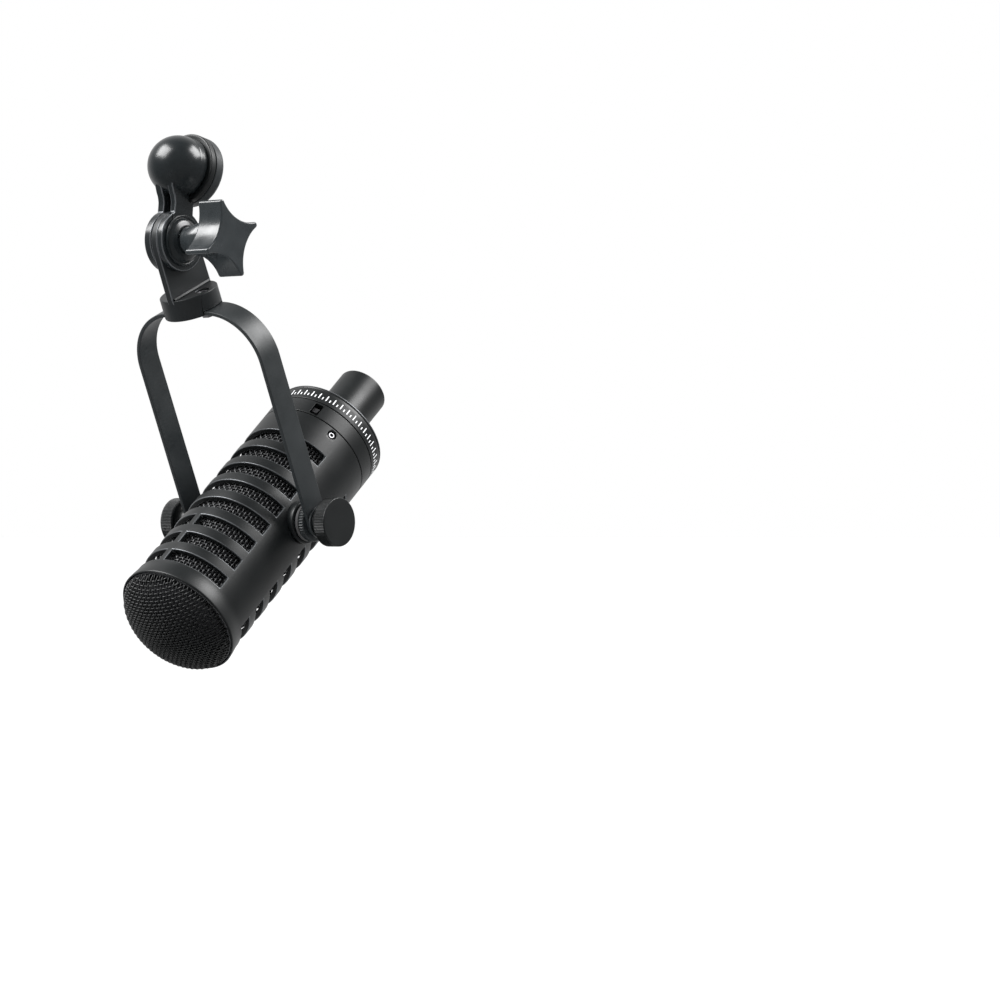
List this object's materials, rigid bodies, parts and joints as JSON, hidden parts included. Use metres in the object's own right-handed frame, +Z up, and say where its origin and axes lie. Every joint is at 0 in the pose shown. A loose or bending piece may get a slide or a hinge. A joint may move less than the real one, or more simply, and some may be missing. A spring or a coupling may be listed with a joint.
{
  "type": "dynamic broadcast microphone with yoke mount",
  "caption": "End-address dynamic microphone with a slotted barrel and domed wire grille, hung by thumbscrews in a U-shaped yoke on a ball swivel with a star knob",
  "frame": {"origin": "centre of the hub's rear face, where the boom screws in", "axes": "+Z up; +X along the swivel hinge and the yoke pivots; the boom leaves towards +Y, 11 degrees below the horizontal; the front grille points forward (-Y) and down"},
  "size_m": [0.1068, 0.1688, 0.2583],
  "materials": {
    "satin_black": "aluminium, painted satin black with a fine grain",
    "matte_black": "matte dark grey-black powder coat",
    "gloss_black": "gloss black",
    "knob_plastic": "satin to gloss moulded black",
    "black_mesh": "woven steel wire, painted black",
    "rubber": "matte black",
    "steel": "plain machined",
    "brass": "machined",
    "magnet_iron": "dull grey",
    "copper_wire": "varnished copper wire",
    "black_plastic": "fine matte",
    "circuit_board": "green laminate",
    "film": "thin clear film",
    "foam_and_cloth": "open-cell foam and acoustic cloth"
  },
  "bodies": {
    "hub": {"boom_hub": "matte_black", "thread_insert": "brass", "retaining_clip": "steel"},
    "swivel": {"ball_housing": "gloss_black", "lock_ring": "satin_black", "hinge_bolt": "steel", "dished_washer": "gloss_black"},
    "knob": {"star_knob": "knob_plastic", "knob_insert": "brass"},
    "yoke": {"yoke_base": "matte_black", "pivot_bush": "rubber", "yoke_bracket": "matte_black", "yoke_screw_1": "steel", "yoke_screw_2": "steel", "yoke_nut_1": "steel", "yoke_nut_2": "steel", "lock_washer_left": "steel", "lock_washer_right": "steel", "thumb_washer_left": "matte_black", "thumb_washer_right": "matte_black"},
    "mic": {"barrel": "satin_black", "front_grille": "black_mesh", "grille_clamp_ring": "steel", "mesh_sleeve": "black_mesh", "cloth_liner": "foam_and_cloth", "foam_windscreen": "foam_and_cloth", "set_screw_1": "steel", "set_screw_2": "steel", "set_screw_3": "steel", "rear_housing": "satin_black", "switch_body": "black_plastic", "circuit_board": "circuit_board", "transformer": "copper_wire", "tail_cap": "satin_black", "xlr_sleeve": "satin_black", "xlr_insert": "black_plastic", "xlr_pin_1": "brass", "xlr_pin_2": "brass", "xlr_pin_3": "brass", "capsule_housing": "steel", "capsule_front_cap": "steel", "diaphragm": "film", "voice_coil": "copper_wire", "top_plate": "steel", "magnet": "magnet_iron", "magnet_cup": "steel", "shock_mount_front": "rubber", "shock_mount_rear": "rubber", "pivot_pad_left": "rubber", "pivot_pad_right": "rubber"},
    "switch": {"switch_slider": "black_plastic"},
    "thumb_left": {"thumbscrew_left": "satin_black"},
    "thumb_right": {"thumbscrew_right": "satin_black"}
  },
  "joints": [
    {"name": "swivel_turn", "type": "hinge", "parent": "hub", "child": "swivel", "pos_m": [0, -0.01394, 0.00271], "axis": [0, 0.9816, -0.1908], "continuous": true},
    {"name": "yoke_tilt", "type": "hinge", "parent": "swivel", "child": "yoke", "pos_m": [0, -0.01707, -0.03364], "axis": [1, 0, 0], "range_deg": [-114, 66]},
    {"name": "star_knob_turn", "type": "hinge", "parent": "swivel", "child": "knob", "pos_m": [0, -0.01707, -0.03364], "axis": [1, 0, 0], "continuous": true},
    {"name": "mic_tilt", "type": "hinge", "parent": "yoke", "child": "mic", "pos_m": [0, 0.0432, -0.16837], "axis": [1, 0, 0], "continuous": true},
    {"name": "thumb_left_turn", "type": "hinge", "parent": "mic", "child": "thumb_left", "pos_m": [0, 0.0432, -0.16837], "axis": [1, 0, 0], "continuous": true},
    {"name": "thumb_right_turn", "type": "hinge", "parent": "mic", "child": "thumb_right", "pos_m": [0, 0.0432, -0.16837], "axis": [1, 0, 0], "continuous": true},
    {"name": "switch_slide", "type": "slide", "parent": "mic", "child": "switch", "axis": [0, 0.7738, 0.6334], "range_m": [-0.0017, 0.0017]}
  ]
}
